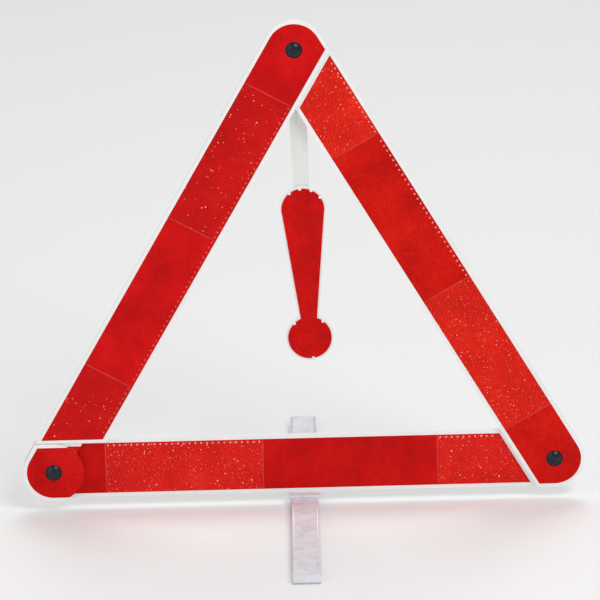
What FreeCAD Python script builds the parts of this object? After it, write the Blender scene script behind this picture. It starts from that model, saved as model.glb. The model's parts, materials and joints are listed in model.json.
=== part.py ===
"""Folding road warning triangle: three lapped bars, a hanging mark and a swivelling foot.

Frame: +Z up, front towards -Y, origin on the ground under the foot's swivel pin.
"""
import FreeCAD, Part

import math
import os

import Sketcher

os.makedirs("parts", exist_ok=True)
doc = FreeCAD.newDocument("WarningTriangle")
Vector = FreeCAD.Vector
Rotation = FreeCAD.Rotation

# ---------------------------------------------------------------- driving sizes, millimetres
SIZES = [
    ("side_length", 500, "triangle side, measured to the sharp outer corners"),
    ("bar_width", 50, "width of each bar"),
    ("bar_depth", 3.6, "depth of each bar, front to back"),
    ("layer_gap", 0.4, "clear gap between neighbouring bars"),
    ("running_gap", 0.3, "clear gap beside the strap and the foot's bracket"),
    ("washer_play", 0.1, "free play of the spacer between right and base bars"),
    ("rim_width", 3, "white rim round the red panels"),
    ("recess_depth", 2, "depth of the tray that holds the panels"),
    ("panel_depth", 1.7, "thickness of a red panel"),
    ("panel_gap", 0.1, "clear gap between a panel and the wall of its tray"),
    ("root_gap", 0.2, "gap at the base bar's root panel, and step of the cap's panel"),
    ("seam_gap", 0.5, "gap between two red panels"),
    ("first_seam", 43, "end panel to long reflector, from the bar's own rivet"),
    ("second_seam", 173, "long reflector to plain panel"),
    ("third_seam", 317, "plain panel to short reflector"),
    ("edge_round", 3, "small rounding where a slanted end meets a long edge"),
    ("round_slack", 0.01, "how much the cap's rounding stays under its half width"),
    ("lap_radius", 20, "rounded hidden end of a bar"),
    ("arm_half_width", 9, "half width of the left bar's thin arm under the corner cap"),
    ("arm_eye_radius", 10, "round end of that arm"),
    ("arm_clearance", 0.5, "gap between the base bar's edge and the left bar's full depth"),
    ("rivet_radius", 3, "rivet shank"),
    ("rivet_hole_radius", 3.05, "running hole on a rivet shank"),
    ("head_radius", 6.3, "domed rivet head"),
    ("head_height", 2.6, "dome height"),
    ("tail_radius", 5, "rear washer of a rivet"),
    ("tail_depth", 1.4, "thickness of a rear washer"),
    ("cap_depth", 2.4, "thickness of the front cap at the lower left corner"),
    ("cap_proud", 0.9, "how far that cap stands in front of the left bar"),
    ("cap_edge_round", 2.4, "that cap's small rounding"),
    ("bush_radius", 6, "bush in the left bar's lap"),
    ("bush_hole_radius", 6.05, "running hole on that bush"),
    ("bush_shoulder_radius", 9, "wide part of the bush, behind the left bar"),
    ("clearance_height", 10, "bottom edge of the base bar above the ground"),
    ("foot_length", 370, "foot, end to end"),
    ("foot_width", 22, "foot channel"),
    ("foot_height", 7.8, "top of the foot above the ground"),
    ("foot_wall", 1.5, "sheet thickness of foot and bracket"),
    ("pad_length", 26, "rubber pad under each foot end"),
    ("bracket_width", 26, "bracket between base bar and foot"),
    ("bracket_height", 15, "bracket's upright leg, above the bar's bottom edge"),
    ("swivel_radius", 3, "foot's swivel pin"),
    ("swivel_hole_radius", 3.05, "running hole on that pin"),
    ("screw_head_radius", 2.85, "bracket screw head"),
    ("screw_head_depth", 1.2, "height of a bracket screw head"),
    ("screw_offset", 7.8, "bracket screw, sideways from the middle"),
    ("screw_rise", 8.25, "bracket screw, above the bar's bottom edge"),
    ("mark_lean", 1.7, "lean of the hanging mark, degrees"),
    ("mark_drop", 139, "apex pin to the centre of the mark's round top"),
    ("dot_drop", 250, "apex pin to the centre of the mark's dot"),
    ("mark_top_radius", 17.5, "red round top of the mark"),
    ("mark_tip_half_width", 6.5, "red mark's half width where it meets the dot"),
    ("mark_tip_reach", 1.424, "how far the stem runs into the dot"),
    ("dot_radius", 17.8, "red dot"),
    ("mark_rim", 2, "white rim round the mark"),
    ("plate_depth", 1.8, "mark's white plate"),
    ("film_depth", 0.8, "mark's red film"),
    ("strap_top_width", 16, "strap at the apex"),
    ("strap_bottom_width", 12, "strap at the mark"),
    ("strap_depth", 0.8, "strap thickness"),
    ("strap_overlap", 10, "strap below the mark's pin"),
    ("post_radius", 3, "post that carries the strap"),
    ("post_hole_radius", 3.05, "strap's eye"),
    ("mark_pin_radius", 1.5, "pin between strap and mark"),
    ("mark_pin_hole_radius", 1.55, "mark's eye"),
    ("mark_pin_head_radius", 4, "head of that pin, behind the strap"),
    ("mark_pin_inset", 0.1, "front end of that pin, behind the plate's front"),
]
sheet = doc.addObject("Spreadsheet::Sheet", "Sizes")
for row, (alias, value, meaning) in enumerate(SIZES, start=1):
    sheet.set("A%d" % row, meaning)
    sheet.set("B%d" % row, str(value))
    sheet.setAlias("B%d" % row, alias)
doc.recompute()


def size(alias):
    """Value of one cell of the sheet."""
    return float(sheet.get(alias))


def bind(text):
    """Expression text with every cell name pointed at the sheet."""
    for alias, _, _ in sorted(SIZES, key=lambda entry: -len(entry[0])):
        text = text.replace("<%s>" % alias, "Sizes.%s" % alias)
    return text


SMALLEST_CUT = 0.01
STRAIGHT_WITHIN = 0.001
NEAR = 0.05

# ---------------------------------------------------------------- lengths and depths as expressions
PITCH = "(<side_length> - <bar_width> * sqrt(3))"
HALF = "(<bar_width> / 2)"
INNER = "(<bar_width> / 2 - <rim_width>)"
PANEL_HALF = "(%s - <panel_gap>)" % INNER

# Depths are measured back from the left bar's front face.
RIGHT_FRONT = "(<bar_depth> + <layer_gap>)"
RIGHT_REAR = "(%s + <bar_depth>)" % RIGHT_FRONT
BASE_FRONT = "(2 * %s)" % RIGHT_FRONT
BASE_REAR = "(%s + <bar_depth>)" % BASE_FRONT
PANEL_FACE = "(<recess_depth> - <panel_depth>)"
CAP_REAR = "(<cap_depth> - <cap_proud>)"
BUSH_STEP = "(<bar_depth> + <layer_gap> / 2)"
MARK_FRONT = "(%s + <layer_gap>)" % BASE_REAR
PLATE_FRONT = "(%s + <film_depth>)" % MARK_FRONT
STRAP_FRONT = "(%s + <plate_depth> + <running_gap>)" % PLATE_FRONT
STRAP_REAR = "(%s + <strap_depth>)" % STRAP_FRONT
TAB_BOTTOM = "(<foot_height> + <running_gap>)"


def value(expression):
    """Value of an expression in the sheet's cells."""
    return float(sheet.evalExpression(bind(expression)))


pitch = value(PITCH)
swivel_y = value(BASE_FRONT + " + <bar_depth> / 2")
base_axis_z = value("<clearance_height> + " + HALF)
apex_z = base_axis_z + pitch * math.sin(math.radians(60))


# ---------------------------------------------------------------- small builders
def spot(x, depth, z):
    """Point of the finished object, with depth measured back from the left bar's front."""
    return Vector(x, depth - swivel_y, z)


LEFT_PIVOT = (-pitch / 2, base_axis_z)
RIGHT_PIVOT = (pitch / 2, base_axis_z)
APEX = (0.0, apex_z)


def bar_placement(own_rivet, heading, front):
    """Places a bar drawn from its own rivet along +X, at a heading in degrees."""
    return FreeCAD.Placement(spot(own_rivet[0], front, own_rivet[1]), Rotation(Vector(0, 1, 0), -heading))


def new_body(label):
    body = doc.addObject("PartDesign::Body", label)
    body.Label = label
    return body


def origin_plane(body, role):
    return [feature for feature in body.Origin.OriginFeatures if feature.Role == role][0]


def new_sketch(body, name, role="XZ_Plane", offset=0.0):
    """Sketch on an origin plane; on XZ its normal is -Y, so an offset of -d lies d behind it."""
    sketch = body.newObject("Sketcher::SketchObject", name)
    sketch.AttachmentSupport = [(origin_plane(body, role), "")]
    sketch.MapMode = "FlatFace"
    sketch.AttachmentOffset = FreeCAD.Placement(Vector(0, 0, offset), Rotation())
    return sketch


def add_polygon(sketch, corners):
    """Closed polygon whose corners are pairs of expressions in the sheet's cells."""
    first = sketch.GeometryCount
    bound = [(bind(x), bind(y)) for x, y in corners]
    points = [Vector(sketch.evalExpression(x), sketch.evalExpression(y), 0) for x, y in bound]
    count = len(points)
    for index in range(count):
        sketch.addGeometry(Part.LineSegment(points[index], points[(index + 1) % count]), False)
    for index in range(count):
        following = first + (index + 1) % count
        sketch.addConstraint(Sketcher.Constraint("Coincident", first + index, 2, following, 1))
    for index in range(count):
        for kind, expression, value in (("DistanceX", bound[index][0], points[index].x),
                                        ("DistanceY", bound[index][1], points[index].y)):
            number = sketch.addConstraint(Sketcher.Constraint(kind, -1, 1, first + index, 1, value))
            sketch.setExpression("Constraints[%d]" % number, expression)


def add_circle(sketch, x, y, radius):
    """Circle whose centre and radius are expressions in the sheet's cells."""
    x, y, radius = bind(x), bind(y), bind(radius)
    centre = Vector(sketch.evalExpression(x), sketch.evalExpression(y), 0)
    value = sketch.evalExpression(radius)
    edge = sketch.addGeometry(Part.Circle(centre, Vector(0, 0, 1), value), False)
    number = sketch.addConstraint(Sketcher.Constraint("Radius", edge, value))
    sketch.setExpression("Constraints[%d]" % number, radius)
    for kind, expression, distance in (("DistanceX", x, centre.x), ("DistanceY", y, centre.y)):
        number = sketch.addConstraint(Sketcher.Constraint(kind, -1, 1, edge, 3, distance))
        sketch.setExpression("Constraints[%d]" % number, expression)


def pad(body, name, sketch, length, reverse=True):
    feature = body.newObject("PartDesign::Pad", name)
    feature.Profile = sketch
    feature.Reversed = reverse
    feature.setExpression("Length", bind(length))
    doc.recompute()
    return feature


def pocket(body, name, sketch, length=None, reverse=False):
    """Pocket that must remove material; without a length it goes right through."""
    before = body.Shape.Volume
    feature = body.newObject("PartDesign::Pocket", name)
    feature.Profile = sketch
    feature.Reversed = reverse
    if length is None:
        feature.Type = 1
        feature.Midplane = True
    else:
        feature.setExpression("Length", bind(length))
    doc.recompute()
    assert body.Shape.Volume < before - SMALLEST_CUT, body.Label + " " + name + " cuts nothing"
    return feature


def round_edges(body, name, places, radius):
    """Rounds the edges that run front to back through the given (x, z) places."""
    names = []
    for number, edge in enumerate(body.Shape.Edges, start=1):
        if len(edge.Vertexes) != 2:
            continue
        start = edge.Vertexes[0].Point
        end = edge.Vertexes[1].Point
        if abs(start.x - end.x) + abs(start.z - end.z) > STRAIGHT_WITHIN:
            continue
        if any(math.hypot(start.x - x, start.z - z) < NEAR for x, z in places):
            names.append("Edge%d" % number)
    assert names, body.Label + " " + name + " finds no edge"
    rounded = body.Tip
    feature = body.newObject("PartDesign::Fillet", name)
    feature.Base = (rounded, names)
    feature.setExpression("Radius", bind(radius))
    doc.recompute()
    return feature


def solid_cylinder(name, radius, height, position, direction=Vector(0, 1, 0)):
    """Part cylinder whose radius and height are expressions in the sheet's cells."""
    cylinder = doc.addObject("Part::Cylinder", name)
    cylinder.setExpression("Radius", bind(radius))
    cylinder.setExpression("Height", bind(height))
    cylinder.Placement = FreeCAD.Placement(position, Rotation(Vector(0, 0, 1), direction))
    return cylinder


def solid_dome(name, position):
    """Low dome facing the front: the cap of a sphere whose chord is the rivet head."""
    dome = doc.addObject("Part::Sphere", name)
    sphere_radius = "(<head_radius>^2 + <head_height>^2) / (2 * <head_height>)"
    dome.setExpression("Radius", bind(sphere_radius))
    dome.setExpression("Angle1", bind("asin(1 - <head_height> / (%s))" % sphere_radius))
    radius = dome.evalExpression(bind(sphere_radius))
    centre = position + Vector(0, radius, 0)
    dome.Placement = FreeCAD.Placement(centre, Rotation(Vector(0, 0, 1), Vector(0, -1, 0)))
    return dome


def fuse(label, pieces):
    joined = doc.addObject("Part::MultiFuse", label)
    joined.Shapes = pieces
    joined.Refine = True
    joined.Label = label
    return joined


# ---------------------------------------------------------------- bar outlines, drawn along +X
def end_corners(half):
    """Sharp corners of a bar's own end, for an outline at the given half width."""
    return [("-%s * sqrt(3)" % half, "-%s" % half), ("-%s / sqrt(3)" % half, half)]


def round_corners(half):
    """The same end without its sharp corner: from the circle's low point to where it meets the slant."""
    tangent = ("-%s * sqrt(3) / 2" % half, "%s / 2" % half)
    return [("0", "-%s" % half), tangent, ("-%s / sqrt(3)" % half, half)]


def cut_corners(half, standoff):
    """Corners of the far end, cut parallel to the next bar at a distance from its axis."""
    top = "%s - (2 * %s + %s) / sqrt(3)" % (PITCH, standoff, half)
    bottom = "%s - (2 * %s - %s) / sqrt(3)" % (PITCH, standoff, half)
    return [(top, half), (bottom, "-%s" % half)]


def value_of(corner):
    return [value(part) for part in corner]


def make_frame(label, placement, own_hole, lap_hole, own_end, thin_lap):
    """White tray of one bar. Its own end is rounded, and its far end laps under the next bar."""
    body = new_body(label)
    outline = new_sketch(body, label + "_outline")
    if thin_lap:
        far = cut_corners(HALF, "(%s + <arm_clearance>)" % HALF)
    else:
        far = [("%s + <lap_radius>" % PITCH, HALF), ("%s + <lap_radius>" % PITCH, "-%s" % HALF)]
    near = end_corners(HALF)
    add_polygon(outline, [near[0], near[1], far[0], far[1]])
    pad(body, label + "_pad", outline, "<bar_depth>")
    round_edges(body, label + "_corner", [value_of(near[0])], HALF)
    round_edges(body, label + "_shoulder", [value_of(near[1])], "<edge_round>")
    if thin_lap:
        lap = new_sketch(body, label + "_lap", offset=-size("bar_depth"))
        add_polygon(lap, [("%s - 2 * <lap_radius>" % PITCH, "-<arm_half_width>"),
                          ("%s - 2 * <lap_radius>" % PITCH, "<arm_half_width>"),
                          (PITCH, "<arm_half_width>"), (PITCH, "-<arm_half_width>")])
        pad(body, label + "_lap_pad", lap, "<bar_depth> / 2", reverse=False)
        eye = new_sketch(body, label + "_eye", offset=-size("bar_depth"))
        add_circle(eye, PITCH, "0", "<arm_eye_radius>")
        pad(body, label + "_eye_pad", eye, "<bar_depth> / 2", reverse=False)
    else:
        round_edges(body, label + "_far_end", [value_of(far[0]), value_of(far[1])], "<lap_radius>")
    recess = new_sketch(body, label + "_recess")
    if own_end == "pocketed":
        start = round_corners(INNER)
    else:
        start = [("%s / 2" % HALF, "-%s" % INNER), ("%s / 2" % HALF, INNER)]
    stop = cut_corners(INNER, "(%s + <rim_width>)" % HALF)
    add_polygon(recess, start + stop)
    pocket(body, label + "_tray", recess, "<recess_depth>")
    if own_end == "pocketed":
        bowl = new_sketch(body, label + "_bowl")
        add_circle(bowl, "0", "0", INNER)
        pocket(body, label + "_round_tray", bowl, "<recess_depth>")
    holes = new_sketch(body, label + "_holes")
    add_circle(holes, "0", "0", own_hole)
    if lap_hole:
        add_circle(holes, PITCH, "0", lap_hole)
    pocket(body, label + "_rivet_holes", holes)
    body.Placement = placement
    return body


def make_panel(label, placement, start, stop, hole=None, corner=None):
    """Red panel lying in the tray, between two pairs of corners."""
    body = new_body(label)
    outline = new_sketch(body, label + "_outline")
    add_polygon(outline, [start[0], start[1], stop[0], stop[1]])
    pad(body, label + "_pad", outline, "<panel_depth>")
    if corner:
        round_edges(body, label + "_corner", [value_of(start[0])], corner)
    if hole:
        holes = new_sketch(body, label + "_hole")
        add_circle(holes, "0", "0", hole)
        pocket(body, label + "_rivet_hole", holes)
    body.Placement = placement.multiply(FreeCAD.Placement(
        Vector(0, value(PANEL_FACE), 0), Rotation()))
    return body


def square_start(seam):
    x = "%s + <seam_gap> / 2" % seam
    return [(x, "-%s" % PANEL_HALF), (x, PANEL_HALF)]


def square_stop(seam):
    x = "%s - <seam_gap> / 2" % seam
    return [(x, PANEL_HALF), (x, "-%s" % PANEL_HALF)]


parts = []


def make_bar(side, own_rivet, heading, front):
    """One bar: white tray and its four red panels."""
    placement = bar_placement(own_rivet, heading, front)
    capped = side == "base"
    parts.append(make_frame(side + "_bar_tray", placement, "<rivet_hole_radius>",
                            "<bush_hole_radius>" if side == "left" else "<rivet_hole_radius>",
                            "capped" if capped else "pocketed", side == "left"))
    near_seams = ("<first_seam>", "<second_seam>", "<third_seam>")
    if capped:
        root = "%s / 2 + <root_gap>" % HALF
        start = [(root, "-%s" % PANEL_HALF), (root, PANEL_HALF)]
        parts.append(make_panel("base_bar_root_panel", placement, start, square_stop(near_seams[0])))
    else:
        parts.append(make_panel(side + "_bar_end_panel", placement, end_corners(PANEL_HALF),
                                square_stop(near_seams[0]), "<rivet_hole_radius>", PANEL_HALF))
    parts.append(make_panel(side + "_bar_long_reflector", placement, square_start(near_seams[0]),
                            square_stop(near_seams[1])))
    parts.append(make_panel(side + "_bar_plain_panel", placement, square_start(near_seams[1]),
                            square_stop(near_seams[2])))
    stop = cut_corners(PANEL_HALF, "(%s + <rim_width> + <panel_gap>)" % HALF)
    parts.append(make_panel(side + "_bar_short_reflector", placement, square_start(near_seams[2]), stop))


make_bar("base", LEFT_PIVOT, 0, value(BASE_FRONT))
make_bar("right", RIGHT_PIVOT, 120, value(RIGHT_FRONT))
make_bar("left", APEX, 240, 0)


# ---------------------------------------------------------------- lower left corner cap
cap_front = -size("cap_proud")
cap = new_body("base_bar_corner_cap")
cap_outline = new_sketch(cap, "cap_outline")
cap_end = end_corners(HALF)
add_polygon(cap_outline, cap_end + [("0", HALF), ("0", "-%s" % HALF)])
pad(cap, "cap_pad", cap_outline, "<cap_depth>")
round_edges(cap, "cap_corner", [value_of(cap_end[0])], "%s - <round_slack>" % HALF)
round_edges(cap, "cap_shoulder", [value_of(cap_end[1])], "<cap_edge_round>")
cap_disc = new_sketch(cap, "cap_disc")
add_circle(cap_disc, "0", "0", HALF)
pad(cap, "cap_disc_pad", cap_disc, "<cap_depth>")
cap.Placement = bar_placement(LEFT_PIVOT, 0, cap_front)
recess = new_sketch(cap, "cap_recess")
add_polygon(recess, round_corners(INNER) + [("<bar_width>", INNER), ("<bar_width>", "-%s" % INNER)])
pocket(cap, "cap_tray", recess, "<cap_depth> / 2")
bowl = new_sketch(cap, "cap_bowl")
add_circle(bowl, "0", "0", INNER)
pocket(cap, "cap_bowl_tray", bowl, "<cap_depth> / 2")
cap_hole = new_sketch(cap, "cap_hole")
add_circle(cap_hole, "0", "0", "<rivet_hole_radius>")
pocket(cap, "cap_rivet_hole", cap_hole)
parts.append(cap)

cap_panel = new_body("base_bar_end_panel")
face_depth = "<cap_depth> / 2 - <root_gap>"
face_front = cap_front + size("root_gap")
face_round = new_sketch(cap_panel, "face_round")
add_circle(face_round, "0", "0", "%s - <panel_gap>" % HALF)
pad(cap_panel, "face_round_pad", face_round, face_depth)
for name, low, high in (("face_top", PANEL_HALF, "<bar_width>"),
                        ("face_bottom", "-<bar_width>", "-%s" % PANEL_HALF)):
    trim = new_sketch(cap_panel, name)
    add_polygon(trim, [("-<bar_width>", low), ("<bar_width>", low),
                       ("<bar_width>", high), ("-<bar_width>", high)])
    pocket(cap_panel, name + "_trim", trim, face_depth)
trim = new_sketch(cap_panel, "face_left")
add_polygon(trim, [("-<bar_width>", "-<bar_width>"), ("0", "-<bar_width>"), ("0", "<bar_width>"),
                   ("-<bar_width>", "<bar_width>")])
pocket(cap_panel, "face_left_trim", trim, face_depth)
face_corner = new_sketch(cap_panel, "face_corner")
add_polygon(face_corner, round_corners(PANEL_HALF) + [("0", PANEL_HALF)])
pad(cap_panel, "face_corner_pad", face_corner, face_depth)
face_bowl = new_sketch(cap_panel, "face_bowl")
add_circle(face_bowl, "0", "0", PANEL_HALF)
pad(cap_panel, "face_bowl_pad", face_bowl, face_depth)
cap_panel.Placement = bar_placement(LEFT_PIVOT, 0, face_front)
panel_hole = new_sketch(cap_panel, "cap_panel_hole")
add_circle(panel_hole, "0", "0", "<rivet_hole_radius>")
pocket(cap_panel, "cap_panel_rivet_hole", panel_hole)
parts.append(cap_panel)


# ---------------------------------------------------------------- rivets
def make_rivet(label, place, head_depth, shank_end, with_washer):
    """Domed black rivet: head in front, shank through the lap, and a rear washer where it is riveted."""
    front = value(head_depth)
    head = solid_dome(label + "_head", spot(place[0], front - size("head_height"), place[1]))
    shank = solid_cylinder(label + "_shank", "<rivet_radius>", "%s - %s" % (shank_end, head_depth),
                           spot(place[0], front, place[1]))
    pieces = [head, shank]
    if with_washer:
        pieces.append(solid_cylinder(label + "_tail", "<tail_radius>", "<tail_depth>",
                                     spot(place[0], value(shank_end), place[1])))
    parts.append(fuse(label, pieces))


make_rivet("left_corner_rivet", LEFT_PIVOT, "(<root_gap> - <cap_proud>)", BASE_REAR, True)
make_rivet("right_corner_rivet", RIGHT_PIVOT, "(%s + %s)" % (RIGHT_FRONT, PANEL_FACE), BASE_REAR, True)
make_rivet("apex_stud", APEX, PANEL_FACE, "<bar_depth>", False)


def make_ring(label, outer, length, place, start):
    """Plain ring on a rivet's shank."""
    body = new_body(label)
    sketch = new_sketch(body, label + "_ring")
    add_circle(sketch, "0", "0", outer)
    add_circle(sketch, "0", "0", "<rivet_hole_radius>")
    pad(body, label + "_pad", sketch, length)
    body.Placement = FreeCAD.Placement(spot(place[0], value(start), place[1]), Rotation())
    return body


bush_length = "%s - %s" % (BUSH_STEP, CAP_REAR)
lap_bush = make_ring("left_lap_bush", "<bush_radius>", bush_length, LEFT_PIVOT, CAP_REAR)
shoulder = new_sketch(lap_bush, "shoulder_ring", offset=-value(bush_length))
add_circle(shoulder, "0", "0", "<bush_shoulder_radius>")
add_circle(shoulder, "0", "0", "<rivet_hole_radius>")
pad(lap_bush, "shoulder_pad", shoulder, "%s - %s" % (BASE_FRONT, BUSH_STEP))
parts.append(lap_bush)
parts.append(make_ring("right_lap_washer", "<bush_radius>", "<layer_gap> - <washer_play>", RIGHT_PIVOT,
                       "%s + <washer_play> / 2" % RIGHT_REAR))

# ---------------------------------------------------------------- strap and mark
POST_START = "(%s + <bar_depth> / 2)" % RIGHT_FRONT
POST_HEAD = "(%s + <running_gap>)" % STRAP_REAR
post_shank = solid_cylinder("post_shank", "<post_radius>", "%s - %s" % (POST_HEAD, POST_START),
                            spot(0, value(POST_START), apex_z))
post_head = solid_cylinder("post_head", "<tail_radius>", "<tail_depth>", spot(0, value(POST_HEAD), apex_z))
flange_length = "%s - <running_gap> - %s" % (STRAP_FRONT, RIGHT_REAR)
post_flange = solid_cylinder("post_flange", "<tail_radius>", flange_length, spot(0, value(RIGHT_REAR), apex_z))
parts.append(fuse("strap_post", [post_shank, post_head, post_flange]))

hang = FreeCAD.Placement(spot(0, 0, apex_z), Rotation(Vector(0, 1, 0), -size("mark_lean")))


def hung(start):
    """Placement of a hanging piece drawn below the apex pin, at a depth."""
    return hang.multiply(FreeCAD.Placement(Vector(0, start, 0), Rotation()))


strap = new_body("mark_strap")
strap_outline = new_sketch(strap, "strap_outline")
strap_end = "-<mark_drop> - <strap_overlap>"
add_polygon(strap_outline, [("-<strap_bottom_width> / 2", strap_end), ("-<strap_top_width> / 2", "0"),
                            ("<strap_top_width> / 2", "0"), ("<strap_bottom_width> / 2", strap_end)])
pad(strap, "strap_pad", strap_outline, "<strap_depth>")
strap_top = new_sketch(strap, "strap_top")
add_circle(strap_top, "0", "0", "<strap_top_width> / 2")
pad(strap, "strap_top_pad", strap_top, "<strap_depth>")
strap_eyes = new_sketch(strap, "strap_eyes")
add_circle(strap_eyes, "0", "0", "<post_hole_radius>")
add_circle(strap_eyes, "0", "-<mark_drop>", "<mark_pin_radius>")
pocket(strap, "strap_eye_holes", strap_eyes)
strap.Placement = hung(value(STRAP_FRONT))
parts.append(strap)


def mark_shape(label, rim, thickness, start):
    """Exclamation mark outline, widened all round by a rim."""
    body = new_body(label)
    top_radius = "(<mark_top_radius> + %s)" % rim
    tip = "(<mark_tip_half_width> + %s)" % rim
    low = "-<dot_drop> + <dot_radius> - <mark_tip_reach>"
    stem = new_sketch(body, label + "_stem")
    add_polygon(stem, [("-%s" % top_radius, "-<mark_drop>"), (top_radius, "-<mark_drop>"),
                       (tip, low), ("-%s" % tip, low)])
    pad(body, label + "_stem_pad", stem, thickness)
    crown = new_sketch(body, label + "_crown")
    add_circle(crown, "0", "-<mark_drop>", top_radius)
    pad(body, label + "_crown_pad", crown, thickness)
    dot = new_sketch(body, label + "_dot")
    add_circle(dot, "0", "-<dot_drop>", "<dot_radius> + %s" % rim)
    pad(body, label + "_dot_pad", dot, thickness)
    body.Placement = hung(value(start))
    return body


mark_plate = mark_shape("mark_plate", "<mark_rim>", "<plate_depth>", PLATE_FRONT)
mark_eye = new_sketch(mark_plate, "mark_eye")
add_circle(mark_eye, "0", "-<mark_drop>", "<mark_pin_hole_radius>")
pocket(mark_plate, "mark_eye_hole", mark_eye)
parts.append(mark_plate)
parts.append(mark_shape("mark_red_film", "0", "<film_depth>", MARK_FRONT))

mark_pin_place = hang.multVec(Vector(0, 0, -size("mark_drop")))
PIN_FRONT = "(%s + <mark_pin_inset>)" % PLATE_FRONT
pin_shank = solid_cylinder("pin_shank", "<mark_pin_radius>", "%s - %s" % (STRAP_REAR, PIN_FRONT),
                           mark_pin_place + Vector(0, value(PIN_FRONT), 0))
pin_head = solid_cylinder("pin_head", "<mark_pin_head_radius>", "<tail_depth> / 2",
                          mark_pin_place + Vector(0, value(STRAP_REAR), 0))
parts.append(fuse("mark_pin", [pin_shank, pin_head]))

# ---------------------------------------------------------------- foot, pads, bracket and swivel pin
foot = new_body("foot_channel")
foot_outline = new_sketch(foot, "foot_outline", role="XY_Plane")
add_polygon(foot_outline, [("-<foot_width> / 2", "-<foot_length> / 2"),
                           ("<foot_width> / 2", "-<foot_length> / 2"),
                           ("<foot_width> / 2", "<foot_length> / 2"),
                           ("-<foot_width> / 2", "<foot_length> / 2")])
pad(foot, "foot_pad", foot_outline, "<foot_height> - <foot_wall>", reverse=False)
foot.Placement = FreeCAD.Placement(Vector(0, 0, size("foot_wall")), Rotation())
hollow = new_sketch(foot, "foot_hollow", role="XY_Plane")
inner_x = "(<foot_width> / 2 - <foot_wall>)"
add_polygon(hollow, [("-%s" % inner_x, "-<foot_length> / 2 + <foot_wall>"),
                     (inner_x, "-<foot_length> / 2 + <foot_wall>"),
                     (inner_x, "<foot_length> / 2 - <foot_wall>"),
                     ("-%s" % inner_x, "<foot_length> / 2 - <foot_wall>")])
pocket(foot, "foot_channel_hollow", hollow, "<foot_height> - 2 * <foot_wall>", reverse=True)
swivel_hole = new_sketch(foot, "foot_swivel_hole", role="XY_Plane")
add_circle(swivel_hole, "0", "0", "<swivel_hole_radius>")
pocket(foot, "foot_swivel_bore", swivel_hole)
parts.append(foot)

pad_boxes = []
for end_name, sign in (("front", -1), ("rear", 1)):
    rubber = doc.addObject("Part::Box", "pad_%s" % end_name)
    rubber.setExpression("Length", bind("<foot_width>"))
    rubber.setExpression("Width", bind("<pad_length>"))
    rubber.setExpression("Height", bind("<foot_wall>"))
    middle = sign * (size("foot_length") - size("pad_length")) / 2
    rubber.Placement = FreeCAD.Placement(
        Vector(-size("foot_width") / 2, middle - size("pad_length") / 2, 0), Rotation())
    pad_boxes.append(rubber)
foot_pads = doc.addObject("Part::Compound", "foot_pads")
foot_pads.Links = pad_boxes
foot_pads.Label = "foot_pads"
parts.append(foot_pads)

bracket = new_body("foot_bracket")
bracket_side = new_sketch(bracket, "bracket_side", role="YZ_Plane", offset=-size("bracket_width") / 2)
upright = "(<bar_depth> / 2)"
add_polygon(bracket_side, [("-<foot_width> / 2", TAB_BOTTOM),
                           ("%s + <foot_wall>" % upright, TAB_BOTTOM),
                           ("%s + <foot_wall>" % upright, "<clearance_height> + <bracket_height>"),
                           (upright, "<clearance_height> + <bracket_height>"),
                           (upright, "<clearance_height>"),
                           ("-<foot_width> / 2", "<clearance_height>")])
pad(bracket, "bracket_pad", bracket_side, "<bracket_width>", reverse=False)
parts.append(bracket)

swivel_seat = value("<foot_height> - <foot_wall> - <running_gap>")
swivel_top = solid_cylinder("swivel_top", "<swivel_radius>", "<foot_wall> + 2 * <running_gap>",
                            Vector(0, 0, swivel_seat), Vector(0, 0, 1))
swivel_head = solid_cylinder("swivel_head", "<tail_radius>", "<foot_wall>",
                             Vector(0, 0, swivel_seat - size("foot_wall")), Vector(0, 0, 1))
parts.append(fuse("swivel_pin", [swivel_top, swivel_head]))

screws = []
screw_face = size("bar_depth") / 2 + size("foot_wall")
for side_name, sign in (("left", -1), ("right", 1)):
    centre = Vector(sign * size("screw_offset"), screw_face, size("clearance_height") + size("screw_rise"))
    screws.append(solid_cylinder("screw_head_" + side_name, "<screw_head_radius>", "<screw_head_depth>",
                                 centre))
bracket_screws = doc.addObject("Part::Compound", "bracket_screws")
bracket_screws.Links = screws
bracket_screws.Label = "bracket_screws"
parts.append(bracket_screws)

# ---------------------------------------------------------------- check and write
doc.recompute()
for thing in doc.Objects:
    assert "Invalid" not in thing.State and "Error" not in thing.State, thing.Label
for piece in parts:
    assert not piece.Shape.isNull() and piece.Shape.isValid(), piece.Label
    piece.Shape.exportStep("parts/%s.step" % piece.Label)
    box = piece.Shape.BoundBox
    print("%-28s solids %d  volume %9.1f  x %7.1f %7.1f  y %7.1f %7.1f  z %6.1f %6.1f" % (
        piece.Label, len(piece.Shape.Solids), piece.Shape.Volume,
        box.XMin, box.XMax, box.YMin, box.YMax, box.ZMin, box.ZMax))
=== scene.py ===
"""Looks of the folding warning triangle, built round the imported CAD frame. Metres, front towards -Y."""

import json
import math

import bmesh
import bpy
from mathutils import Matrix, Vector


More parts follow.
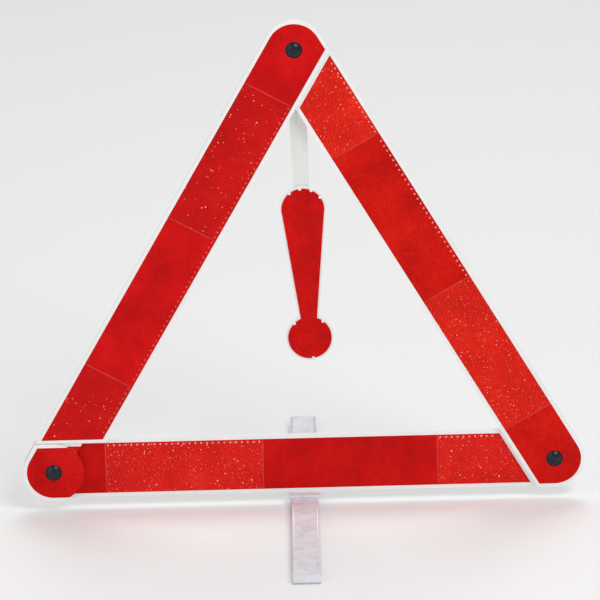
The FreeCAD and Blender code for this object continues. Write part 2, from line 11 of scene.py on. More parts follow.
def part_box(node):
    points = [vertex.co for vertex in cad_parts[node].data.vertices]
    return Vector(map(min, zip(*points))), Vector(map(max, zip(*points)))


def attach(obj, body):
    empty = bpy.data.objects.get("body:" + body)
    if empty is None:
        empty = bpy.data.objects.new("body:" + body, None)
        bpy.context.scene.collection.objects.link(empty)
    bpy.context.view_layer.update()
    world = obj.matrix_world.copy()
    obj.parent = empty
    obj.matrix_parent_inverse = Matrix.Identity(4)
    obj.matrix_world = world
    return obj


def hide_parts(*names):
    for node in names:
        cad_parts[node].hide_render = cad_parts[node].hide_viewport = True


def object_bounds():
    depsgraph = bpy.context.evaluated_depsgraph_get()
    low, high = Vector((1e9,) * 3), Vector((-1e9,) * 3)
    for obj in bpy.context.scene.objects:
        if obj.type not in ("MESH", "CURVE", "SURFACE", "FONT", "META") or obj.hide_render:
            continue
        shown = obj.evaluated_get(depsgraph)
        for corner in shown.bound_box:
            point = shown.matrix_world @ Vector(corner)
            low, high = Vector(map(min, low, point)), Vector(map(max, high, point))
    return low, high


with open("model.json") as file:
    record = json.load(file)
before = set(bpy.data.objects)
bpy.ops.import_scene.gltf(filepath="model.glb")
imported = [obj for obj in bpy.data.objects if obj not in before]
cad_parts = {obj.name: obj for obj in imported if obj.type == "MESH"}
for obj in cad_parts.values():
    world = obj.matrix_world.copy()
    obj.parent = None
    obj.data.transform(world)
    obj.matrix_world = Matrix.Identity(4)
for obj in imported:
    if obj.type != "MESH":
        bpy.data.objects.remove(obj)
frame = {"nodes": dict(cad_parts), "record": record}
cad_low, cad_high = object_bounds()
nodes = frame["nodes"]
joints = {joint["name"]: joint for joint in frame["record"]["behaviour"]["joints"]}

# ---------------------------------------------------------------- places, worked out from the frame
LEFT_PIVOT = Vector(joints["left_fold"]["pos_m"])
RIGHT_PIVOT = Vector(joints["right_fold"]["pos_m"])
APEX = Vector(joints["strap_fold"]["pos_m"])
MARK_PIVOT = Vector(joints["mark_swing"]["pos_m"])
# Each bar's own rivet, its direction in degrees from +X towards +Z, and its CAD body.
BARS = {
    "base": {"own": LEFT_PIVOT, "heading": 0, "body": "base"},
    "right": {"own": RIGHT_PIVOT, "heading": 120, "body": "right_bar"},
    "left": {"own": APEX, "heading": 240, "body": "left_bar"},
}
PANELS_AFTER_SEAMS = ("long_reflector", "plain_panel", "short_reflector")
BAR_ANGLE = math.radians(60)
MM = 0.001

# ---------------------------------------------------------------- reds of each bar, matched to the photo, with painted light: each bar has its own lighter or darker copy of one red
# Each bar's red is one colour made lighter or darker per bar: painted light and shade from how the lamps
# fall on that bar.
PLAIN_TINT_SHADED_BY_BAR = {"base": (0.58, 0.003, 0.003), "right": (0.62, 0.005, 0.002), "left": (0.62, 0.003, 0.004)}
PRISM_TINT_SHADED_BY_BAR = {"base": (0.69, 0.009, 0.007), "right": (0.7, 0.01, 0.004), "left": (0.57, 0.003, 0.004)}
# Painted glints in the reflectors, more on the bars that catch more light.
PAINTED_GLINT_SHARE_BY_BAR = {"base": 0.95, "right": 0.55, "left": 0.12}  # share of cells that hold a glint
# Strength per bar of the highlight painted along the prism rows.
RIDGE_HIGHLIGHT_BY_BAR = {"base": 0.18, "right": 0.2, "left": 0.09}
# Moulded dots: their lighter red is a painted highlight, made stronger or weaker per bar.
DOT_TINT_SHADED_BY_BAR = {"base": (1.0, 0.42, 0.34), "right": (1.0, 0.34, 0.28), "left": (0.86, 0.1, 0.08)}


def bar_matrix(side):
    """Takes a point drawn along a bar from its own rivet, y at the panels' front, to the frame."""
    bar = BARS[side]
    turn = Matrix.Rotation(-math.radians(bar["heading"]), 4, "Y")
    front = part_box(side + "_bar_plain_panel")[0].y
    return Matrix.Translation((bar["own"].x, front, bar["own"].z)) @ turn


def along_bar(side, node):
    """Extent of one node along its bar and across it, in the bar's own directions."""
    inverse = bar_matrix(side).inverted()
    points = [inverse @ vertex.co for vertex in nodes[node].data.vertices]
    lengths = [point.x for point in points]
    across = [point.z for point in points]
    return min(lengths), max(lengths), min(across), max(across)


# ---------------------------------------------------------------- material helpers
def new_material(name, base, roughness, **sockets):
    """Principled material; other sockets are given by name, with underscores for spaces."""
    material = bpy.data.materials.new(name)
    material.use_nodes = True
    shader = material.node_tree.nodes["Principled BSDF"]
    shader.inputs["Base Color"].default_value = (*base, 1)
    shader.inputs["Roughness"].default_value = roughness
    for label, value in sockets.items():
        shader.inputs[label.replace("_", " ")].default_value = value
    return material, material.node_tree, shader


def add_node(tree, kind, **settings):
    """Shader node with its settings."""
    node = tree.nodes.new(kind)
    for name, value in settings.items():
        setattr(node, name, value)
    return node


def mapped(tree, turn=0.0):
    """Object coordinates turned about Y, so that a pattern follows its bar."""
    source = add_node(tree, "ShaderNodeTexCoord")
    mapping = add_node(tree, "ShaderNodeMapping")
    mapping.inputs["Rotation"].default_value = (0, math.radians(turn), 0)
    tree.links.new(source.outputs["Object"], mapping.inputs["Vector"])
    return mapping.outputs["Vector"]


def noise(tree, vector, scale, detail=3.0, roughness=0.5):
    """Cloudy 0 to 1 pattern."""
    node = add_node(tree, "ShaderNodeTexNoise")
    node.inputs["Scale"].default_value = scale
    node.inputs["Detail"].default_value = detail
    node.inputs["Roughness"].default_value = roughness
    tree.links.new(vector, node.inputs["Vector"])
    return node.outputs["Fac"]


def ramp(tree, source, stops):
    """Colour ramp with (place, colour) stops."""
    node = add_node(tree, "ShaderNodeValToRGB")
    while len(node.color_ramp.elements) < len(stops):
        node.color_ramp.elements.new(0.5)
    for element, (place, colour) in zip(node.color_ramp.elements, stops):
        element.position = place
        element.color = (*colour, 1)
    tree.links.new(source, node.inputs["Fac"])
    return node.outputs["Color"]


def span(tree, source, low, high):
    """Maps a 0 to 1 value to a range, for roughness."""
    node = add_node(tree, "ShaderNodeMapRange")
    node.inputs["To Min"].default_value = low
    node.inputs["To Max"].default_value = high
    tree.links.new(source, node.inputs["Value"])
    return node.outputs["Result"]


def mix(tree, factor, first, second):
    """Blend of two colours."""
    node = add_node(tree, "ShaderNodeMix", data_type="RGBA")
    tree.links.new(factor, node.inputs["Factor"])
    tree.links.new(first, node.inputs["A"])
    tree.links.new(second, node.inputs["B"])
    return node.outputs["Result"]


def bump(tree, shader, height, strength, distance):
    """Surface relief from a height."""
    node = add_node(tree, "ShaderNodeBump")
    node.inputs["Strength"].default_value = strength
    node.inputs["Distance"].default_value = distance
    tree.links.new(height, node.inputs["Height"])
    tree.links.new(node.outputs["Normal"], shader.inputs["Normal"])


def math_node(tree, operation, first, second):
    """Sum, product or comparison of two values."""
    node = add_node(tree, "ShaderNodeMath", operation=operation)
    tree.links.new(first, node.inputs[0])
    if isinstance(second, (int, float)):
        node.inputs[1].default_value = second
    else:
        tree.links.new(second, node.inputs[1])
    return node.outputs["Value"]


def weighted(tree, first, share, second):
    """Sum of a share of the first value and the rest of the second."""
    return math_node(tree, "ADD", math_node(tree, "MULTIPLY", first, share),
                     math_node(tree, "MULTIPLY", second, 1 - share))


# ---------------------------------------------------------------- materials
RED_HIGHLIGHT_GAIN = (1.22, 2.6, 2.2)
CLOUD_SHARE = 0.62
SPANGLE_SHARE = 0.3
PLAIN_SHADE = 0.74
PRISM_SHADE = 0.8
# Lighter red painted along the prism rows as a highlight.
RIDGE_HIGHLIGHT_RED = (0.86, 0.05, 0.03, 1)
# Size of the painted glints within their cells.
GLINT_SIZE = 0.42
BRIGHT_SHADE = 0.75


def red_surface(name, turn, tint, deep):
    """Red moulding with slow mottling and fine specks, shared by the plain panels and the reflectors."""
    material, tree, shader = new_material(name, tint, 0.4, Specular_IOR_Level=0.07,
                                          Coat_Weight=0.03, Coat_Roughness=0.12)
    vector = mapped(tree, turn)
    cloud = noise(tree, vector, scale=30, detail=6.0, roughness=0.68)
    speck = noise(tree, vector, scale=620, detail=2.0)
    both = weighted(tree, cloud, CLOUD_SHARE, speck)
    dark = tuple(channel * deep for channel in tint)
    light = tuple(min(1.0, channel * gain) for channel, gain in zip(tint, RED_HIGHLIGHT_GAIN))
    colour = ramp(tree, both, [(0.36, dark), (0.5, tint), (0.66, light)])
    tree.links.new(span(tree, cloud, low=0.3, high=0.5), shader.inputs["Roughness"])
    return material, tree, shader, vector, colour, speck


def plain_red(side):
    """Plain red panel: the mottled red with a slight grain."""
    material, tree, shader, _, colour, speck = red_surface(
        "plain_red_" + side, BARS[side]["heading"], PLAIN_TINT_SHADED_BY_BAR[side], PLAIN_SHADE)
    tree.links.new(colour, shader.inputs["Base Color"])
    bump(tree, shader, speck, strength=0.14, distance=0.4 * MM)
    return material


def prism_red(side):
    """Red reflector: slanted rows of prisms, with a highlight painted along the rows and a scatter of
    small painted glints.
    """
    material, tree, shader, vector, colour, _ = red_surface(
        "prism_red_" + side, BARS[side]["heading"], PRISM_TINT_SHADED_BY_BAR[side], PRISM_SHADE)
    rows = add_node(tree, "ShaderNodeTexWave", bands_direction="DIAGONAL")
    rows.inputs["Scale"].default_value = 170
    rows.inputs["Distortion"].default_value = 1.2
    tree.links.new(vector, rows.inputs["Vector"])
    # Painted highlight: the prism rows' relief is real (bump below), their lighter red is painted light.
    ridges = math_node(tree, "MULTIPLY", rows.outputs["Fac"], RIDGE_HIGHLIGHT_BY_BAR[side])
    lit = add_node(tree, "ShaderNodeRGB")
    lit.outputs["Color"].default_value = RIDGE_HIGHLIGHT_RED
    hatched = mix(tree, ridges, colour, lit.outputs["Color"])
    # Painted glints: small bright spots of lighter red put in the base colour.
    cells = add_node(tree, "ShaderNodeTexVoronoi")
    cells.inputs["Scale"].default_value = 470
    tree.links.new(vector, cells.inputs["Vector"])
    chance = add_node(tree, "ShaderNodeSeparateColor")
    tree.links.new(cells.outputs["Color"], chance.inputs["Color"])
    reach = math_node(tree, "MULTIPLY", chance.outputs["Green"], GLINT_SIZE)
    small = math_node(tree, "LESS_THAN", cells.outputs["Distance"], reach)
    chosen = math_node(tree, "GREATER_THAN", chance.outputs["Red"], 1.0 - PAINTED_GLINT_SHARE_BY_BAR[side])
    glint = ramp(tree, chance.outputs["Blue"],
                 [(0.3, (0.9, 0.09, 0.06)), (0.75, (1.0, 0.26, 0.16)), (0.97, (1.0, 0.62, 0.42))])
    painted_glint_mask = math_node(tree, "MULTIPLY", small, chosen)
    tree.links.new(mix(tree, painted_glint_mask, hatched, glint), shader.inputs["Base Color"])
    bump(tree, shader, rows.outputs["Fac"], strength=0.3, distance=0.4 * MM)
    return material


def white_plastic():
    """Moulded white plastic with a fine texture and faint grey clouds."""
    material, tree, shader = new_material("white_plastic", (0.88, 0.87, 0.85), 0.42,
                                          Subsurface_Weight=0.05,
                                          Subsurface_Radius=(0.004, 0.003, 0.002))
    vector = mapped(tree)
    cloud = noise(tree, vector, scale=14, detail=6.0, roughness=0.65)
    grain = noise(tree, vector, scale=1500, detail=2.0)
    colour = ramp(tree, cloud, [(0.28, (0.835, 0.825, 0.805)), (0.45, (0.885, 0.88, 0.865)),
                                (0.7, (0.92, 0.915, 0.905))])
    tree.links.new(colour, shader.inputs["Base Color"])
    tree.links.new(span(tree, cloud, low=0.36, high=0.55), shader.inputs["Roughness"])
    bump(tree, shader, grain, strength=0.15, distance=0.2 * MM)
    return material


def strap_plastic():
    """Satin pale strap, faintly streaked along its length."""
    material, tree, shader = new_material("strap_plastic", (0.78, 0.78, 0.73), 0.38,
                                          Subsurface_Weight=0.15,
                                          Subsurface_Radius=(0.003, 0.003, 0.002))
    vector = mapped(tree)
    stretch = add_node(tree, "ShaderNodeMapping")
    stretch.inputs["Scale"].default_value = (900, 900, 26)
    tree.links.new(vector, stretch.inputs["Vector"])
    streak = noise(tree, stretch.outputs["Vector"], scale=1.0, detail=3.0)
    colour = ramp(tree, streak, [(0.3, (0.76, 0.76, 0.735)), (0.7, (0.83, 0.83, 0.81))])
    tree.links.new(colour, shader.inputs["Base Color"])
    bump(tree, shader, streak, strength=0.2, distance=0.2 * MM)
    return material


def zinc_steel(name, turn):
    """Zinc-coated sheet: pale, with a cloudy spangle and fine scratches."""
    material, tree, shader = new_material(name, (0.74, 0.76, 0.8), 0.42, Metallic=0.15)
    vector = mapped(tree, turn)
    spangle = add_node(tree, "ShaderNodeTexVoronoi")
    spangle.inputs["Scale"].default_value = 150
    tree.links.new(vector, spangle.inputs["Vector"])
    grey = add_node(tree, "ShaderNodeSeparateColor")
    tree.links.new(spangle.outputs["Color"], grey.inputs["Color"])
    cloud = noise(tree, vector, scale=30, detail=6.0, roughness=0.65)
    level = weighted(tree, grey.outputs["Red"], SPANGLE_SHARE, cloud)
    colour = ramp(tree, level, [(0.25, (0.66, 0.675, 0.72)), (0.45, (0.78, 0.8, 0.85)),
                                (0.75, (0.88, 0.89, 0.93))])
    tree.links.new(colour, shader.inputs["Base Color"])
    tree.links.new(span(tree, level, low=0.24, high=0.5), shader.inputs["Roughness"])
    scratch = add_node(tree, "ShaderNodeMapping")
    scratch.inputs["Scale"].default_value = (1600, 40, 1600)
    tree.links.new(vector, scratch.inputs["Vector"])
    scratches = noise(tree, scratch.outputs["Vector"], scale=1.0, detail=2.0)
    bump(tree, shader, scratches, strength=0.12, distance=0.2 * MM)
    return material


def dark_plastic():
    """Semi-gloss black moulding of the rivets."""
    material, tree, shader = new_material("black_plastic", (0.008, 0.011, 0.018), 0.2,
                                          Specular_IOR_Level=0.3)
    vector = mapped(tree)
    wear = noise(tree, vector, scale=320, detail=4.0)
    colour = ramp(tree, wear, [(0.35, (0.006, 0.009, 0.016)), (0.7, (0.016, 0.021, 0.034))])
    tree.links.new(colour, shader.inputs["Base Color"])
    tree.links.new(span(tree, wear, low=0.12, high=0.26), shader.inputs["Roughness"])
    grain = noise(tree, vector, scale=1800, detail=2.0)
    bump(tree, shader, grain, strength=0.1, distance=0.2 * MM)
    return material


def pad_rubber():
    """Pale grey rubber of the foot's pads."""
    material, tree, shader = new_material("pad_rubber", (0.5, 0.5, 0.51), 0.75)
    grain = noise(tree, mapped(tree), scale=900, detail=4.0)
    colour = ramp(tree, grain, [(0.3, (0.36, 0.36, 0.37)), (0.7, (0.55, 0.55, 0.56))])
    tree.links.new(colour, shader.inputs["Base Color"])
    bump(tree, shader, grain, strength=0.4, distance=0.3 * MM)
    return material


def bright_red(name, colour, roughness):
    """Lighter red of the seam ridges and of the moulded dots; on the dots it is a painted highlight."""
    material, tree, shader = new_material(name, colour, roughness, Specular_IOR_Level=0.2,
                                          Coat_Weight=0.1, Coat_Roughness=0.1)
    speck = noise(tree, mapped(tree), scale=700, detail=3.0)
    shade = tuple(channel * BRIGHT_SHADE for channel in colour)
    tree.links.new(ramp(tree, speck, [(0.35, shade), (0.65, colour)]), shader.inputs["Base Color"])
    return material


WHITE = white_plastic()
BLACK = dark_plastic()
STEEL = zinc_steel("zinc_steel", turn=0)
PLATED = zinc_steel("plated_steel", turn=30)
RUBBER = pad_rubber()
STRAP = strap_plastic()
SEAM_RED = bright_red("seam_red", (0.78, 0.04, 0.03), 0.3)
# Dot materials per bar, each with its own painted highlight.
DOT_RED = {side: bright_red("dot_red_" + side, tint, 0.22) for side, tint in DOT_TINT_SHADED_BY_BAR.items()}
PLAIN = {side: plain_red(side) for side in BARS}
PRISM = {side: prism_red(side) for side in BARS}
SLOT_MATERIALS = {"white_plastic": WHITE, "black_plastic": BLACK, "zinc_steel": STEEL,
                  "fastener_steel": PLATED, "rubber": RUBBER, "strap_plastic": STRAP,
                  "plain_red": PLAIN["base"]}

SLOTS = {entry["node"]: entry["material_slot"] for entry in frame["record"]["subparts"]}
BODIES = {name: body for body, held in frame["record"]["behaviour"]["bodies"].items() for name in held}


def set_material(obj, material):
    """Gives every slot of an object one material."""
    if not obj.material_slots:
        obj.data.materials.append(material)
    for slot in obj.material_slots:
        slot.material = material


def material_of(name):
    """Material of a CAD node: by bar for its red panels, and by slot for the rest."""
    side = name.split("_")[0]
    if name.endswith("reflector"):
        return PRISM[side]
    if name.endswith("panel"):
        return PLAIN[side]
    return SLOT_MATERIALS[SLOTS[name]]


for node_name, node in nodes.items():
    set_material(node, material_of(node_name))


# ---------------------------------------------------------------- mesh helpers
def finish_mesh(name, mesh, body, material, smooth=True):
    """Makes an object of a mesh, which rides on a CAD body."""
    data = bpy.data.meshes.new(name)
    bmesh.ops.recalc_face_normals(mesh, faces=mesh.faces)
    mesh.to_mesh(data)
    mesh.free()
    for face in data.polygons:
        face.use_smooth = smooth
    obj = bpy.data.objects.new(name, data)
    bpy.context.scene.collection.objects.link(obj)
    set_material(obj, material)
    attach(obj, body)
    return obj


def angles(count):
    """Evenly spaced angles round a circle."""
    return [2 * math.pi * index / count for index in range(count)]


def add_dome(mesh, matrix, radius, height, rings=3, sides=12, skirt=0.0):
    """Closed low dome: base on the local y = 0 plane, bulging towards -y, with an optional skirt."""
    rows = []
    levels = [(radius, skirt)] if skirt else []
    for ring in range(rings):
        tilt = 0.5 * math.pi * ring / rings
        levels.append((radius * math.cos(tilt), -height * math.sin(tilt)))
    for reach, y in levels:
        rows.append([mesh.verts.new(matrix @ Vector((reach * math.cos(turn), y, reach * math.sin(turn))))
                     for turn in angles(sides)])
    top = mesh.verts.new(matrix @ Vector((0, -height, 0)))
    mesh.faces.new(rows[0])
    for lower, upper in zip(rows, rows[1:]):
        for index in range(sides):
            following = (index + 1) % sides
            mesh.faces.new((lower[index], lower[following], upper[following], upper[index]))
    for index in range(sides):
        mesh.faces.new((rows[-1][index], rows[-1][(index + 1) % sides], top))


def add_ridge(mesh, matrix, start, end, width, height, steps=5):
    """Closed half-round ridge from start to end, on the local y = 0 plane, rising towards -y."""
    along = (end - start).normalized()
    across = along.cross(Vector((0, 1, 0))).normalized()
    ends = []
    for point in (start, end):
        row = []
        for step in range(steps + 1):
            turn = math.pi * step / steps
            offset = across * (width / 2 * math.cos(turn)) + Vector((0, -height * math.sin(turn), 0))
            row.append(mesh.verts.new(matrix @ (point + offset)))
        ends.append(row)
    mesh.faces.new(ends[0])
    mesh.faces.new(ends[1])
    for step in range(steps):
        mesh.faces.new((ends[0][step], ends[0][step + 1], ends[1][step + 1], ends[1][step]))
    mesh.faces.new((ends[0][0], ends[0][-1], ends[1][-1], ends[1][0]))


# ---------------------------------------------------------------- moulded pieces with softened edges
FOLDED_EDGE = 0.5 * MM
MOULDED_EDGE = 0.35 * MM
PANEL_EDGE = 0.15 * MM
SHARP = math.radians(38)
FLAT_WITHIN = math.radians(0.5)


def soften(name, width):
    """Copy of a CAD piece with rounded edges, which stands for it."""
    data = nodes[name].data.copy()
    data.name = name + "_soft"
    mesh = bmesh.new()
    mesh.from_mesh(data)
    bmesh.ops.dissolve_limit(mesh, angle_limit=FLAT_WITHIN, verts=mesh.verts, edges=mesh.edges)
    for face in mesh.faces:
        face.smooth = True
    mesh.to_mesh(data)
    mesh.free()
    piece = bpy.data.objects.new(name + "_soft", data)
    bpy.context.scene.collection.objects.link(piece)
    bevel = piece.modifiers.new("soft_edges", "BEVEL")
    bevel.width = width
    bevel.segments = 2
    bevel.limit_method = "ANGLE"
    bevel.angle_limit = SHARP
    bevel.harden_normals = True
    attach(piece, BODIES[name])
    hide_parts(name)
    return piece


for moulding in ("base_bar_tray", "right_bar_tray", "left_bar_tray", "base_bar_corner_cap",
                 "mark_plate"):
    soften(moulding, MOULDED_EDGE)
for folded in ("foot_channel", "foot_bracket"):
    soften(folded, FOLDED_EDGE)
for node_name in nodes:
    if node_name.endswith(("panel", "reflector", "film", "rivet", "stud", "strap")):
        soften(node_name, PANEL_EDGE)

# ---------------------------------------------------------------- dark rings round the rivet heads, standing for the shade where each head meets its panel
SHADE_RING_WIDTH = 0.7 * MM
SHADE_RING_SIDES = 48
SHADE_RING_SECTION = 8
SHADE_RINGED_RIVETS = {
    "left_corner_rivet": ("base_bar_end_panel", LEFT_PIVOT),
    "right_corner_rivet": ("right_bar_end_panel", RIGHT_PIVOT),
    "apex_stud": ("left_bar_end_panel", APEX),
}


def make_shade_ring(name, panel, pivot):
    """Thin black ring round the rivet's head: a dark piece put where there is only shade, where the head
    meets the panel.
    """
    head_low, head_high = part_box(name)
    radius = (head_high.x - head_low.x) / 2 + SHADE_RING_WIDTH / 2
    middle = Vector((pivot.x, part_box(panel)[0].y, pivot.z))
    mesh = bmesh.new()
    rows = []
    for angle in angles(SHADE_RING_SIDES):
        outward = Vector((math.cos(angle), 0, math.sin(angle)))
        row = []
        for turn in angles(SHADE_RING_SECTION):
            offset = outward * math.cos(turn) + Vector((0, math.sin(turn), 0))
            row.append(mesh.verts.new(middle + outward * radius + offset * (SHADE_RING_WIDTH / 2)))
        rows.append(row)
    for index, row in enumerate(rows):
        following = rows[(index + 1) % SHADE_RING_SIDES]
        for step in range(SHADE_RING_SECTION):
            after = (step + 1) % SHADE_RING_SECTION
            mesh.faces.new((row[step], row[after], following[after], following[step]))
    return finish_mesh(name + "_shade_ring", mesh, BODIES[name], BLACK)


for rivet, (rivet_panel, rivet_pivot) in SHADE_RINGED_RIVETS.items():
    make_shade_ring(rivet, rivet_panel, rivet_pivot)

# ---------------------------------------------------------------- seams and rows of dots
DOT_STEP = 4.8 * MM
DOT_RADIUS = 0.85 * MM
DOT_INSET = 2.2 * MM
DOT_HEIGHT = 0.3 * MM
SEAM_WIDTH = 1.1 * MM
SEAM_HEIGHT = 0.28 * MM
SEAM_GAP = along_bar("base", "base_bar_plain_panel")[0] - along_bar("base", "base_bar_long_reflector")[1]
DOTTED = {
    "base": ("long_reflector", "short_reflector"),
    "right": ("plain_panel", "short_reflector"),
    "left": ("long_reflector", "plain_panel", "short_reflector"),
}


def make_seams(side):
    """Raised ridges over the joins between a bar's panels."""
    mesh = bmesh.new()
    matrix = bar_matrix(side)
    for name in PANELS_AFTER_SEAMS:
        start, _, low, high = along_bar(side, "%s_bar_%s" % (side, name))
        place = start - SEAM_GAP / 2
        add_ridge(mesh, matrix, Vector((place, 0, low)), Vector((place, 0, high)),
                  SEAM_WIDTH, SEAM_HEIGHT)
    return finish_mesh(side + "_bar_seam_ridges", mesh, BARS[side]["body"], SEAM_RED)


def make_dots(side, name, outer_edge):
    """Row of moulded dots along one long edge of a panel, as far as that panel's slanted end allows."""
    mesh = bmesh.new()
    matrix = bar_matrix(side)
    start, end, low, high = along_bar(side, "%s_bar_%s" % (side, name))
    across = low + DOT_INSET if outer_edge else high - DOT_INSET
    if name == "short_reflector":
        slant = (high - across) / math.tan(BAR_ANGLE)
        end = end - (high - low) / math.tan(BAR_ANGLE) + slant
    count = int((end - start - 2 * DOT_INSET) / DOT_STEP)
    for index in range(count + 1):
        place = start + DOT_INSET + index * DOT_STEP
        add_dome(mesh, matrix @ Matrix.Translation((place, 0, across)), DOT_RADIUS, DOT_HEIGHT)
    return finish_mesh("%s_bar_%s_dots" % (side, name), mesh, BARS[side]["body"],
                       DOT_RED[side])


for bar_side, dotted_panels in DOTTED.items():
    make_seams(bar_side)
    for dotted in dotted_panels:
        make_dots(bar_side, dotted, bar_side == "right")

# ---------------------------------------------------------------- weld lines on the backs of the bars
WELD_WIDTH = 1.6 * MM
WELD_HEIGHT = 0.2 * MM


def make_weld_lines(side):
    """Low ridges on a bar's back, following the outline and the joins of its reflector panels."""
    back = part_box(side + "_bar_tray")[1].y
    flip = Matrix.Diagonal((1, -1, 1, 1))
    front_matrix = bar_matrix(side)
    matrix = Matrix.Translation((0, back - front_matrix.translation.y, 0)) @ front_matrix @ flip
    first, _, low, high = along_bar(side, side + "_bar_long_reflector")
    last = along_bar(side, side + "_bar_short_reflector")[1]
    upper_last = last - (high - low) / math.tan(BAR_ANGLE)
    lines = [((first, low), (last, low)), ((first, high), (upper_last, high)),
             ((last, low), (upper_last, high))]
    for name in PANELS_AFTER_SEAMS:
        place = along_bar(side, "%s_bar_%s" % (side, name))[0]
        lines.append(((place, low), (place, high)))
    mesh = bmesh.new()
    for start, end in lines:
        add_ridge(mesh, matrix, Vector((start[0], 0, start[1])), Vector((end[0], 0, end[1])),
                  WELD_WIDTH, WELD_HEIGHT)
    return finish_mesh(side + "_bar_weld_lines", mesh, BARS[side]["body"], WHITE)


for welded_side in BARS:
    make_weld_lines(welded_side)

# ---------------------------------------------------------------- red patch on the left bar's thin arm
PATCH_STEPS = 8
PATCH_DEPTH = 0.25 * MM
PATCH_GAP = 0.3 * MM
ARM_HALF_WIDTH = 9 * MM  # repeats arm_half_width in part.py


def make_lap_patch():
    """Red skin on the part of the arm that shows between the corner cap and the base bar's rim."""
    _, _, _, top = along_bar("base", "base_bar_root_panel")
    tray_low, tray_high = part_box("left_bar_tray")
    arm_front = (tray_low.y + tray_high.y) / 2
    cap_low, cap_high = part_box("base_bar_corner_cap")
    reach = (cap_high.z - cap_low.z) / 2 + PATCH_GAP
    first = math.asin(top / reach)
    last = BAR_ANGLE - math.asin(ARM_HALF_WIDTH / reach)
    edge = Vector((math.cos(last), math.sin(last))) * reach
    climb = (top - edge.y) / math.tan(BAR_ANGLE)
    outline = [edge + Vector((climb, top - edge.y))]
    for step in range(PATCH_STEPS + 1):
        angle = first + (last - first) * step / PATCH_STEPS
        outline.append(Vector((math.cos(angle), math.sin(angle))) * reach)
    mesh = bmesh.new()
    rows = []
    for y in (arm_front, arm_front - PATCH_DEPTH):
        rows.append([mesh.verts.new((LEFT_PIVOT.x + point.x, y, LEFT_PIVOT.z + point.y))
                     for point in outline])
        mesh.faces.new(rows[-1])
    for index in range(len(outline)):
        following = (index + 1) % len(outline)
        mesh.faces.new((rows[0][index], rows[0][following], rows[1][following], rows[1][index]))
    return finish_mesh("left_bar_lap_patch", mesh, "left_bar", PLAIN["base"], smooth=False)


make_lap_patch()

# ---------------------------------------------------------------- red skin round the corner cap's edge
SKIN_STEPS = 40
SKIN_SWEEP = math.radians(61)
SKIN_OUTSIDE = 0.12 * MM
SKIN_INSIDE = 0.2 * MM
SKIN_PROUD = 0.02 * MM


def make_cap_skin():
    """Thin red band over the round edge of the corner cap, towards the bar."""
    cap_low, cap_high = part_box("base_bar_corner_cap")
    radius = (cap_high.z - cap_low.z) / 2
    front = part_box("base_bar_end_panel")[0].y - SKIN_PROUD
    section = ((radius - SKIN_INSIDE, front), (radius + SKIN_OUTSIDE, front),
               (radius + SKIN_OUTSIDE, cap_high.y), (radius - SKIN_INSIDE, cap_high.y))
    mesh = bmesh.new()
    rows = []
    for step in range(SKIN_STEPS + 1):
        angle = SKIN_SWEEP * (2 * step / SKIN_STEPS - 1)
        rows.append([mesh.verts.new((LEFT_PIVOT.x + reach * math.cos(angle), y,
                                     LEFT_PIVOT.z + reach * math.sin(angle))) for reach, y in section])
    mesh.faces.new(rows[0])
    mesh.faces.new(rows[-1])
    for row, following in zip(rows, rows[1:]):
        for corner in range(len(section)):
            after = (corner + 1) % len(section)
            mesh.faces.new((row[corner], row[after], following[after], following[corner]))
    return finish_mesh("base_bar_cap_skin", mesh, "base", PLAIN["base"], smooth=False)


make_cap_skin()

# ---------------------------------------------------------------- clips round the mark's film
CLIP_RADIUS = 1.3 * MM
CLIP_HEIGHT = 0.15 * MM
CLIP_SKIRT = 0.9 * MM
CROWN_CLIPS = (35, 66, 97, 128)  # degrees from +X towards +Z
DOT_CLIPS = (52, 135, 278)
MARK_DOWN = Vector((MARK_PIVOT.x - APEX.x, 0, MARK_PIVOT.z - APEX.z)).normalized()
MARK_ACROSS = MARK_DOWN.cross(Vector((0, 1, 0)))


def make_clips():
    """Small white moulded tabs that hold the edge of the mark's red film.

    The pivot is the centre of the film's round crown, and the film is widest at its round dot.
    """
    film_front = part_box("mark_red_film")[0].y
    points = [vertex.co - MARK_PIVOT for vertex in nodes["mark_red_film"].data.vertices]
    drops = [point.dot(MARK_DOWN) for point in points]
    crown_radius = -min(drops)
    dot_radius = max(point.dot(MARK_ACROSS) for point in points)
    dot_centre = MARK_PIVOT + MARK_DOWN * (max(drops) - dot_radius)
    mesh = bmesh.new()
    for centre, radius, places in ((MARK_PIVOT, crown_radius, CROWN_CLIPS),
                                   (dot_centre, dot_radius, DOT_CLIPS)):
        for place in places:
            angle = math.radians(place)
            spot = centre + Vector((math.cos(angle), 0, math.sin(angle))) * radius
            spot.y = film_front
            add_dome(mesh, Matrix.Translation(spot), CLIP_RADIUS, CLIP_HEIGHT, skirt=CLIP_SKIRT)
    return finish_mesh("mark_clips", mesh, "mark", WHITE)


make_clips()

# ---------------------------------------------------------------- rolled beads along the foot
BEAD_WIDTH = 1.4 * MM
BEAD_HEIGHT = 0.22 * MM
BEAD_INSET = 1.3 * MM
BEAD_END = 3 * MM


def make_beads():
    """Two beads pressed along the top of the foot, just inside its edges."""
    foot_low, foot_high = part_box("foot_channel")
    upright = Matrix.Translation((0, 0, foot_high.z)) @ Matrix.Rotation(math.radians(-90), 4, "X")
    mesh = bmesh.new()
    for sign in (-1, 1):
        x = sign * (foot_high.x - BEAD_INSET)
        start = Vector((x, 0, foot_high.y - BEAD_END))
        end = Vector((x, 0, foot_low.y + BEAD_END))
        add_ridge(mesh, upright, start, end, BEAD_WIDTH, BEAD_HEIGHT)
    return finish_mesh("foot_beads", mesh, "foot", STEEL)


make_beads()

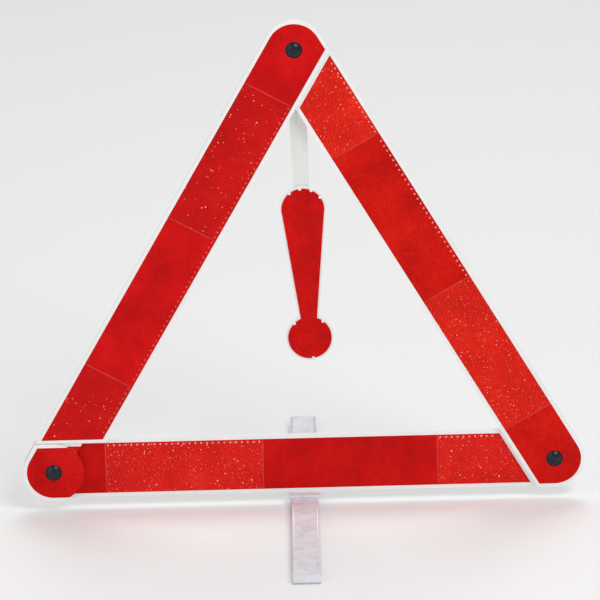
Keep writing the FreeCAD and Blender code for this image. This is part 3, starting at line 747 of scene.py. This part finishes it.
# ---------------------------------------------------------------- stage, lights and camera
ELEVATION = math.radians(19)
ROLL = math.radians(1.43)
DISTANCE = 5.0
MARGIN = 1.06
AIM_HEIGHT = 0.423
FRAME_WIDTH = MARGIN * (cad_high.x - cad_low.x)
SENSOR = 36.0
AIM = Vector((0.0, 0.0, AIM_HEIGHT * cad_high.z))
FLOOR_HALF = 6
WORLD_STRENGTH = 0.5


def make_floor():
    """Plain pale floor."""
    mesh = bmesh.new()
    bmesh.ops.create_grid(mesh, x_segments=1, y_segments=1, size=FLOOR_HALF)
    data = bpy.data.meshes.new("floor")
    mesh.to_mesh(data)
    mesh.free()
    floor = bpy.data.objects.new("floor", data)
    bpy.context.scene.collection.objects.link(floor)
    material, _, _ = new_material("floor", (0.93, 0.93, 0.93), 0.9)
    floor.data.materials.append(material)


def aim_at(obj, target):
    """Turns a light towards a point."""
    obj.rotation_euler = (target - obj.location).to_track_quat("-Z", "Y").to_euler()


def make_light(name, place, width, power):
    """Soft round studio light; place and width in metres, power in watts."""
    light = bpy.data.lights.new(name, "AREA")
    light.shape = "DISK"
    light.size = width
    light.energy = power
    obj = bpy.data.objects.new(name, light)
    obj.location = place
    bpy.context.scene.collection.objects.link(obj)
    aim_at(obj, AIM)


def make_world():
    """Even white surroundings."""
    world = bpy.data.worlds.new("studio")
    world.use_nodes = True
    background = world.node_tree.nodes["Background"]
    background.inputs["Color"].default_value = (1, 1, 1, 1)
    background.inputs["Strength"].default_value = WORLD_STRENGTH
    bpy.context.scene.world = world


def make_camera():
    """Long lens in front of the triangle, raised and slightly rolled."""
    data = bpy.data.cameras.new("camera")
    data.sensor_width = SENSOR
    data.lens = SENSOR * DISTANCE / FRAME_WIDTH
    camera = bpy.data.objects.new("camera", data)
    camera.location = AIM + DISTANCE * Vector((0, -math.cos(ELEVATION), math.sin(ELEVATION)))
    look = (AIM - camera.location).to_track_quat("-Z", "Y")
    camera.rotation_euler = (look.to_matrix() @ Matrix.Rotation(-ROLL, 3, "Z")).to_euler()
    bpy.context.scene.collection.objects.link(camera)
    bpy.context.scene.camera = camera


make_floor()
make_light("key", place=(0.9, -1.5, 1.9), width=1.2, power=20)
make_light("fill", place=(-1.6, -1.4, 1.1), width=1.8, power=8)
make_light("back", place=(0.2, 1.4, 2.4), width=1.6, power=18)
make_world()
bpy.context.scene.view_settings.view_transform = "Standard"
make_camera()
